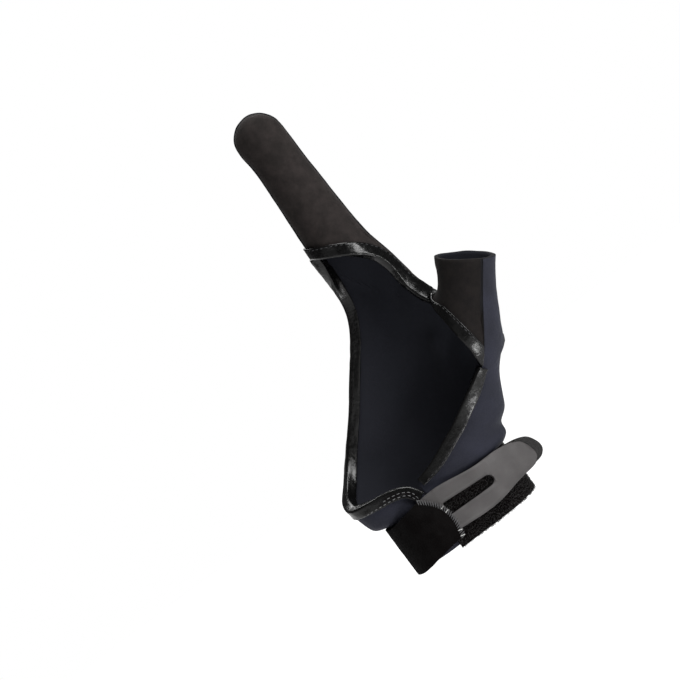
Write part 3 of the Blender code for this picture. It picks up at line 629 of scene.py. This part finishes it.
def rolled(thing, rolls):
    """Pushes both faces of the cloth on the thumb side out and in, so that it rolls over the strap."""
    data = thing.data
    points = np.empty(3 * len(data.vertices))
    data.vertices.foreach_get("co", points)
    points = points.reshape(-1, 3) / MM
    side = np.clip(points[:, 0] / ROLL_SIDE, 0, 1) ** 2
    side *= np.exp(-(((points[:, 1] - ROLL_FRONT) / ROLL_REACH) ** 2))
    for height, width, push in rolls:
        points[:, 0] += push * side * np.exp(-(((points[:, 2] - height) / width) ** 2))
    data.vertices.foreach_set("co", (points * MM).ravel())
    data.update()


def piece_tree(thing):
    """Search tree of a piece's surface."""
    mesh = bmesh.new()
    mesh.from_mesh(thing.data)
    tree = BVHTree.FromBMesh(mesh)
    mesh.free()
    return tree


# Sewing, made with Geometry Nodes.


def spline_through(points, name):
    """Smooth open curve object through points in metres."""
    curve = bpy.data.curves.new(name, "CURVE")
    curve.dimensions = "3D"
    curve.resolution_u = SPLINE_STEPS
    spline = curve.splines.new("BEZIER")
    spline.bezier_points.add(len(points) - 1)
    for knot, point in zip(spline.bezier_points, points):
        knot.co = point
        knot.handle_left_type = knot.handle_right_type = "AUTO"
    made = bpy.data.objects.new(name, curve)
    bpy.context.scene.collection.objects.link(made)
    return made


def new_group(name, **kinds):
    """Geometry Nodes group with geometry, the named inputs and a material, and its two end nodes."""
    group = bpy.data.node_groups.new(name, "GeometryNodeTree")
    for title, kind in {"Geometry": "Geometry", **kinds, "Material": "Material"}.items():
        group.interface.new_socket(title, in_out="INPUT", socket_type="NodeSocket" + kind)
    group.interface.new_socket("Geometry", in_out="OUTPUT", socket_type="NodeSocketGeometry")
    return group, group.nodes.new("NodeGroupInput"), group.nodes.new("NodeGroupOutput")


def wire(group, *pairs):
    """Links pairs of sockets: from an output to an input."""
    for source, target in pairs:
        group.links.new(source, target)


def stitch_group():
    """Geometry Nodes group: one thread stitch at each step along a curve."""
    group = bpy.data.node_groups.get("Stitches")
    if group:
        return group
    group, start, end = new_group(
        "Stitches", Spacing="Float", Length="Float", Thickness="Float", Turn="Float")
    resample = add_node(group, "GeometryNodeResampleCurve", mode="LENGTH")
    ball = add_node(group, "GeometryNodeMeshUVSphere", Segments=STITCH_FACES[0], Rings=STITCH_FACES[1])
    ball.inputs["Radius"].default_value = 0.5
    width, length = start.outputs["Thickness"], start.outputs["Length"]
    size = add_node(group, "ShaderNodeCombineXYZ", [("X", width), ("Y", width), ("Z", length)])
    tangent = group.nodes.new("GeometryNodeInputTangent")
    align = add_node(
        group, "FunctionNodeAlignRotationToVector", [("Vector", tangent.outputs["Tangent"])], axis="Z")
    spin = add_node(group, "FunctionNodeAxisAngleToRotation", [("Angle", start.outputs["Turn"])])
    spin.inputs["Axis"].default_value = (0, 1, 0)
    turned = add_node(
        group, "FunctionNodeRotateRotation",
        [("Rotation", align.outputs["Rotation"]), ("Rotate By", spin.outputs["Rotation"])],
        rotation_space="LOCAL")
    place = group.nodes.new("GeometryNodeInstanceOnPoints")
    real = group.nodes.new("GeometryNodeRealizeInstances")
    paint = add_node(group, "GeometryNodeSetMaterial", [("Material", start.outputs["Material"])])
    shade = group.nodes.new("GeometryNodeSetShadeSmooth")
    wire(
        group,
        (start.outputs["Geometry"], resample.inputs["Curve"]),
        (start.outputs["Spacing"], resample.inputs["Length"]),
        (resample.outputs["Curve"], place.inputs["Points"]),
        (ball.outputs["Mesh"], place.inputs["Instance"]),
        (turned.outputs["Rotation"], place.inputs["Rotation"]),
        (size.outputs["Vector"], place.inputs["Scale"]),
        (place.outputs["Instances"], real.inputs["Geometry"]),
        (real.outputs["Geometry"], shade.inputs["Geometry"]),
        (shade.outputs["Geometry"], paint.inputs["Geometry"]),
        (paint.outputs["Geometry"], end.inputs["Geometry"]),
    )
    return group


def loops_group():
    """Geometry Nodes group: small bent fibres scattered over the faces that carry the pile."""
    group = bpy.data.node_groups.get("Pile")
    if group:
        return group
    group, start, end = new_group("Pile", Density="Float", Radius="Float", Fibre="Float", Seed="Int")
    scatter = group.nodes.new("GeometryNodeDistributePointsOnFaces")
    arc = add_node(group, "GeometryNodeCurveArc", Resolution=LOOP_POINTS, Sweep_Angle=LOOP_SWEEP)
    profile = add_node(group, "GeometryNodeCurvePrimitiveCircle", Resolution=FIBRE_SIDES)
    tube = group.nodes.new("GeometryNodeCurveToMesh")
    upright = add_node(group, "GeometryNodeTransform", Rotation=(math.radians(90), 0, 0))
    place = group.nodes.new("GeometryNodeInstanceOnPoints")
    spin = add_node(group, "FunctionNodeRandomValue", data_type="FLOAT_VECTOR")
    spin.inputs[0].default_value, spin.inputs[1].default_value = LOOP_TURNS
    size = add_node(group, "FunctionNodeRandomValue", data_type="FLOAT")
    size.inputs[2].default_value, size.inputs[3].default_value = LOOP_SIZES
    turn = group.nodes.new("GeometryNodeRotateInstances")
    real = group.nodes.new("GeometryNodeRealizeInstances")
    paint = add_node(group, "GeometryNodeSetMaterial", [("Material", start.outputs["Material"])])
    wire(
        group,
        (start.outputs["Geometry"], scatter.inputs["Mesh"]),
        (start.outputs["Density"], scatter.inputs["Density"]),
        (start.outputs["Seed"], scatter.inputs["Seed"]),
        (start.outputs["Radius"], arc.inputs["Radius"]),
        (start.outputs["Fibre"], profile.inputs["Radius"]),
        (arc.outputs["Curve"], tube.inputs["Curve"]),
        (profile.outputs["Curve"], tube.inputs["Profile Curve"]),
        (tube.outputs["Mesh"], upright.inputs["Geometry"]),
        (scatter.outputs["Points"], place.inputs["Points"]),
        (scatter.outputs["Rotation"], place.inputs["Rotation"]),
        (upright.outputs["Geometry"], place.inputs["Instance"]),
        (size.outputs[1], place.inputs["Scale"]),
        (place.outputs["Instances"], turn.inputs["Instances"]),
        (spin.outputs[0], turn.inputs["Rotation"]),
        (turn.outputs["Instances"], real.inputs["Geometry"]),
        (real.outputs["Geometry"], paint.inputs["Geometry"]),
        (paint.outputs["Geometry"], end.inputs["Geometry"]),
    )
    return group


def cord_group():
    """Geometry Nodes group: a round cord along a curve."""
    group = bpy.data.node_groups.get("Cord")
    if group:
        return group
    group, start, end = new_group("Cord", Radius="Float", Step="Float")
    resample = add_node(group, "GeometryNodeResampleCurve", mode="LENGTH")
    profile = add_node(group, "GeometryNodeCurvePrimitiveCircle", Resolution=CORD_SIDES)
    tube = add_node(group, "GeometryNodeCurveToMesh", Fill_Caps=True)
    shade = group.nodes.new("GeometryNodeSetShadeSmooth")
    paint = add_node(group, "GeometryNodeSetMaterial", [("Material", start.outputs["Material"])])
    wire(
        group,
        (start.outputs["Geometry"], resample.inputs["Curve"]),
        (start.outputs["Step"], resample.inputs["Length"]),
        (resample.outputs["Curve"], tube.inputs["Curve"]),
        (start.outputs["Radius"], profile.inputs["Radius"]),
        (profile.outputs["Curve"], tube.inputs["Profile Curve"]),
        (tube.outputs["Mesh"], shade.inputs["Geometry"]),
        (shade.outputs["Geometry"], paint.inputs["Geometry"]),
        (paint.outputs["Geometry"], end.inputs["Geometry"]),
    )
    return group


def grown(source, name, group, **values):
    """Makes a plain mesh piece from a source object by a Geometry Nodes group. The source is removed."""
    maker = source.modifiers.new("Maker", "NODES")
    maker.node_group = group
    for item in group.interface.items_tree:
        if item.in_out == "INPUT" and item.name in values:
            maker[item.identifier] = values[item.name]
    bpy.context.view_layer.update()
    data = bpy.data.meshes.new_from_object(source.evaluated_get(bpy.context.evaluated_depsgraph_get()))
    made = bpy.data.objects.new(name, data)
    bpy.context.scene.collection.objects.link(made)
    bpy.data.objects.remove(source)
    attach(made, "root")


def laid_on(points, tree, lift):
    """The points moved to the nearest surface and raised by lift."""
    laid = []
    for point in points:
        spot, normal, _, _ = tree.find_nearest(point)
        laid.append(spot + normal * lift)
    return laid


def resampled(points, step):
    """Points every step along a smooth curve through the given ones."""
    points = [Vector(point) for point in points]
    dense = []
    for index in range(len(points) - 1):
        before = points[max(index - 1, 0)]
        after = points[min(index + 2, len(points) - 1)]
        first, last = points[index], points[index + 1]
        bend = 2 * before - 5 * first + 4 * last - after
        twist = 3 * first - before - 3 * last + after
        for share in np.linspace(0, 1, CURVE_POINTS, endpoint=False):
            curve = 2 * first + (last - before) * share + bend * (share * share) + twist * share**3
            dense.append(0.5 * curve)
    dense.append(points[-1])
    run = np.concatenate([[0], np.cumsum([(b - a).length for a, b in zip(dense, dense[1:])])])
    at = np.arange(0, run[-1], step)
    table = np.array(dense)
    return [Vector([np.interp(distance, run, table[:, axis]) for axis in range(3)]) for distance in at]


def sew(name, points, tree, look, spacing, length, thickness, turn=0.0, lift=0.0):
    """A row of stitches laid on a surface, along points in metres."""
    path = laid_on(resampled(points, PATH_STEP * MM), tree, lift * MM)
    grown(spline_through(path, name + "_path"), name, stitch_group(), Spacing=spacing * MM,
          Length=length * MM, Thickness=thickness * MM, Turn=turn, Material=look)


def sew_plain(name, points, tree, look, lift=0.0):
    """A row of stitches of the sizes that are set."""
    values = settings()
    sizes = (values.stitch_spacing, values.stitch_length, values.thread_width)
    sew(name, points, tree, look, *sizes, lift=lift)


def seam(name, points, look, radius):
    """The turned-in seam allowance that shows as a thin line between two cloths."""
    path = resampled(points, PATH_STEP * MM)
    grown(spline_through(path, name + "_path"), name, cord_group(), Radius=radius * MM, Step=PATH_STEP * MM,
          Material=look)


def pile(name, source):
    """Loop pile on the faces of a source object, which is removed."""
    values = settings()
    grown(source, name, loops_group(), Density=values.pile_density / MM**2, Radius=LOOP_RADIUS * MM,
          Fibre=FIBRE_RADIUS * MM, Seed=values.seed, Material=make_looks()["fibre"])


# Pieces.


class GloveSettings(bpy.types.PropertyGroup):
    """Sizes of the dressing that can be set by themselves."""

    stitch_spacing: FloatProperty(
        name="Stitch spacing", default=2.3, min=1.0, max=6.0,
        description="Distance from one stitch to the next along a binding, in millimetres")
    stitch_length: FloatProperty(
        name="Stitch length", default=1.5, min=0.5, max=5.0,
        description="Length of each stitch that shows, in millimetres")
    thread_width: FloatProperty(
        name="Thread width", default=0.38, min=0.1, max=1.0,
        description="Width of the sewing thread, in millimetres")
    crumple: FloatProperty(
        name="Binding crumple", default=0.22, min=0.0, max=1.0,
        description="Height of the crumples in the bindings, in millimetres")
    seam_width: FloatProperty(
        name="Seam width", default=1.3, min=0.5, max=3.0,
        description="Thickness of the seam allowance in a seam, in millimetres")
    pile_density: FloatProperty(
        name="Pile density", default=2.2, min=0.0, max=6.0,
        description="Loops on each square millimetre of the fuzzy band")
    seed: IntProperty(name="Seed", description="Seed of the scattered loops", default=5, min=0)


def settings():
    """The sizes that are set for this scene."""
    return bpy.context.scene.glove


class GLOVE_OT_cloth(bpy.types.Operator):
    """Make the neoprene back and the suede fronts"""

    bl_idname = "glove.cloth"
    bl_label = "Cloth panels"

    def execute(self, context):
        looks = make_looks()
        back = skin("back_panel", (looks["neoprene"], looks["jersey"], looks["foam"]), SOFT_SPOTS)
        rolled(back, ROLLS)
        crumpled(back, *BACK_WRINKLES)
        for node, flat, look in (
            ("index_front_panel", (0.047, 0.115), "suede"),
            # The thumb front takes the darker copy of the suede, which is painted shade.
            ("thumb_front_panel", (0.050, 0.056), "turned_suede"),
        ):
            front = skin(node, (looks[look], looks["jersey"], looks[look]))
            crumpled(front, *FRONT_WRINKLES)
        back_tree = solid_tree("back_panel")
        for node in ("index_front_panel", "thumb_front_panel"):
            for number, row in enumerate(seam_rows(node, back_tree)):
                sunk = [spot - outward(spot, node) * SEAM_DEPTH * MM for spot in row]
                seam(f"{node}_seam_{number}", sunk, looks["seam"], settings().seam_width / 2)
        return {"FINISHED"}


class GLOVE_OT_bindings(bpy.types.Operator):
    """Make the four glossy bindings and their stitches"""

    bl_idname = "glove.bindings"
    bl_label = "Bindings"

    def execute(self, context):
        looks = make_looks()
        values = settings()
        for number, node in enumerate(BINDINGS):
            tape = skin(node, (looks["binding"],) * 3)
            crumpled(tape, values.crumple * SMOOTHER.get(node, 1.0), CRUMPLE_WIDTH, CRUMPLE_START + number)
            light = node == LIGHT_BINDING
            look = looks["grey_thread" if light else "dark_thread"]
            sew_plain(node + "_stitches", stitch_row(node, ROW_INSET), piece_tree(tape), look)
            if light:
                row = stitch_row(node, ROW_INSET + SECOND_ROW)
                row = row[: int(SECOND_ROW_SHARE * len(row))]
                sew_plain(node + "_second_row", row, piece_tree(tape), look)
        return {"FINISHED"}


class GLOVE_OT_closure(bpy.types.Operator):
    """Make the strap, its sewn end, its fuzzy band, the hook pad and the pull tab"""

    bl_idname = "glove.closure"
    bl_label = "Wrist closure"

    def execute(self, context):
        looks = make_looks()
        strap = skin("wrist_strap", (looks["velour"],) * 3)
        crumpled(strap, *STRAP_WRINKLES)
        tree = piece_tree(strap)
        free_end = [Vector(point) * MM for point in STRAP_END]
        sew("strap_overcast", free_end, tree, looks["rib_thread"], *OVERCAST)
        end = resampled(free_end, END_STEP * MM)
        for number, share in enumerate(TACKS):
            place = int(share * (len(end) - 1))
            spot = end[place]
            ahead = end[min(place + END_AHEAD, len(end) - 1)]
            across = (ahead - spot).cross(Vector((0, -1, 0))).normalized()
            points = [spot + across * step * MM for step in (-TACK_REACH, 0.0, TACK_REACH)]
            sew(f"strap_tack_{number}", points, tree, looks["pale_thread"], *TACK)
        pile("strap_pile", faces_where(strap, carries_pile))
        heights = np.linspace(*PATCH_HEIGHTS, PATCH_POINTS)
        edge = [Vector((PATCH_SIDE, PATCH_END, height)) * MM for height in heights]
        sew_plain("patch_stitches", edge, tree, looks["dark_thread"], PATCH_LIFT)
        for node, look in (("hook_pad", "hook"), ("pull_tab", "rubber")):
            thing = skin(node, (looks[look],) * 3)
            if node == "hook_pad":
                thing.data.materials.append(looks["velour"])
                for face in thing.data.polygons:
                    if lies_in_slot(face.center, face.normal):
                        face.material_index = len(thing.data.materials) - 1
                pile("slot_pile", faces_where(thing, lies_in_slot))
        return {"FINISHED"}


def carries_pile(centre, normal):
    """Whether a face of the strap belongs to the fuzzy patch, which starts under the free end."""
    looks_out = normal.x * centre.x + normal.y * centre.y > 0
    covered = centre.x > COVER_START * MM and centre.y > COVER_FRONT * MM
    return looks_out and (covered or centre.x > PATCH_START * MM) and centre.y < PATCH_END * MM


def lies_in_slot(centre, normal):
    """Whether a face of the hook pad shows through the tab's slot, where the loops cling to it."""
    along = SLOT_SPAN[0] < centre.x / MM < SLOT_SPAN[1]
    return normal.y < PALM_FACING and along and abs(centre.z / MM - SLOT_HEIGHT) < SLOT_HALF_WIDTH


def faces_where(thing, wanted):
    """New object with the faces of a piece whose centre and normal are wanted."""
    mesh = bmesh.new()
    mesh.from_mesh(thing.data)
    bmesh.ops.delete(
        mesh, geom=[face for face in mesh.faces if not wanted(face.calc_center_median(), face.normal)],
        context="FACES")
    data = bpy.data.meshes.new("faces")
    mesh.to_mesh(data)
    mesh.free()
    made = bpy.data.objects.new("faces", data)
    bpy.context.scene.collection.objects.link(made)
    return made


def lamp(name, place, aim, size, power):
    """Square area light, in metres and watts, turned to what it lights."""
    data = bpy.data.lights.new(name, "AREA")
    data.shape = "SQUARE"
    data.size = size
    data.energy = power
    thing = bpy.data.objects.new(name, data)
    thing.location = place
    thing.rotation_euler = (Vector(aim) - Vector(place)).to_track_quat("-Z", "Y").to_euler()
    bpy.context.scene.collection.objects.link(thing)


class GLOVE_OT_stage(bpy.types.Operator):
    """Make the pale floor, the soft lights and the camera"""

    bl_idname = "glove.stage"
    bl_label = "Stage"

    def execute(self, context):
        scene = bpy.context.scene
        floor = bpy.data.meshes.new("floor")
        mesh = bmesh.new()
        bmesh.ops.create_grid(mesh, x_segments=1, y_segments=1, size=FLOOR_SIZE)
        mesh.transform(Matrix.Translation((0, 0, FLOOR_HEIGHT)))
        mesh.to_mesh(floor)
        mesh.free()
        ground = bpy.data.objects.new("floor", floor)
        scene.collection.objects.link(ground)
        floor.materials.append(new_material("pale_floor", linear("f7f7f7"), 0.9)[0])
        world = bpy.data.worlds.new("pale_studio")
        world.use_nodes = True
        tree = world.node_tree
        rays = add_node(tree, "ShaderNodeLightPath")
        strength = remap(tree, rays.outputs["Is Camera Ray"], 0, 1, WORLD_STRENGTH, 1.0)
        tree.nodes["Background"].inputs["Color"].default_value = (1, 1, 1, 1)
        tree.links.new(strength, tree.nodes["Background"].inputs["Strength"])
        scene.world = world
        sun = bpy.data.lights.new("studio_sun", "SUN")
        sun.energy = SUN_STRENGTH
        sun.angle = SUN_SPREAD
        shine = bpy.data.objects.new("studio_sun", sun)
        shine.rotation_euler = SUN_DIRECTION.to_track_quat("-Z", "Y").to_euler()
        scene.collection.objects.link(shine)
        for name, place, size, power in LAMPS:
            lamp(name, place, MIDDLE, size, power)
        lamp("glint", GLINT_PLACE, GLINT_SPOT, GLINT_SIZE, GLINT_POWER)
        camera = bpy.data.cameras.new("photo_camera")
        camera.sensor_width = CAMERA_SENSOR
        camera.lens = CAMERA_LENS
        camera.clip_start = CAMERA_NEAR
        eye = bpy.data.objects.new("photo_camera", camera)
        turn = Matrix((CAMERA_RIGHT, CAMERA_UP, CAMERA_BACK)).transposed()
        eye.matrix_world = Matrix.Translation(MIDDLE + CAMERA_BACK * CAMERA_DISTANCE) @ turn.to_4x4()
        scene.collection.objects.link(eye)
        scene.camera = eye
        scene.view_settings.view_transform = "Standard"
        scene.view_settings.look = "None"
        return {"FINISHED"}


class GLOVE_PT_panel(bpy.types.Panel):
    """Sidebar panel with the sizes and the makers"""

    bl_idname = "GLOVE_PT_panel"
    bl_label = "Casting glove"
    bl_space_type = "VIEW_3D"
    bl_region_type = "UI"
    bl_category = "Glove"

    def draw(self, context):
        layout = self.layout
        for name in GloveSettings.__annotations__:
            layout.prop(context.scene.glove, name)
        for operator in OPERATORS:
            layout.operator(operator.bl_idname)


OPERATORS = (GLOVE_OT_stage, GLOVE_OT_cloth, GLOVE_OT_bindings, GLOVE_OT_closure)
CLASSES = (GloveSettings, *OPERATORS, GLOVE_PT_panel)


def register():
    for kind in CLASSES:
        bpy.utils.register_class(kind)
    bpy.types.Scene.glove = PointerProperty(type=GloveSettings)


def unregister():
    del bpy.types.Scene.glove
    for kind in reversed(CLASSES):
        bpy.utils.unregister_class(kind)


def main():
    register()
    bpy.ops.glove.stage()
    bpy.ops.glove.cloth()
    bpy.ops.glove.bindings()
    bpy.ops.glove.closure()


if __name__ == "__main__":
    main()
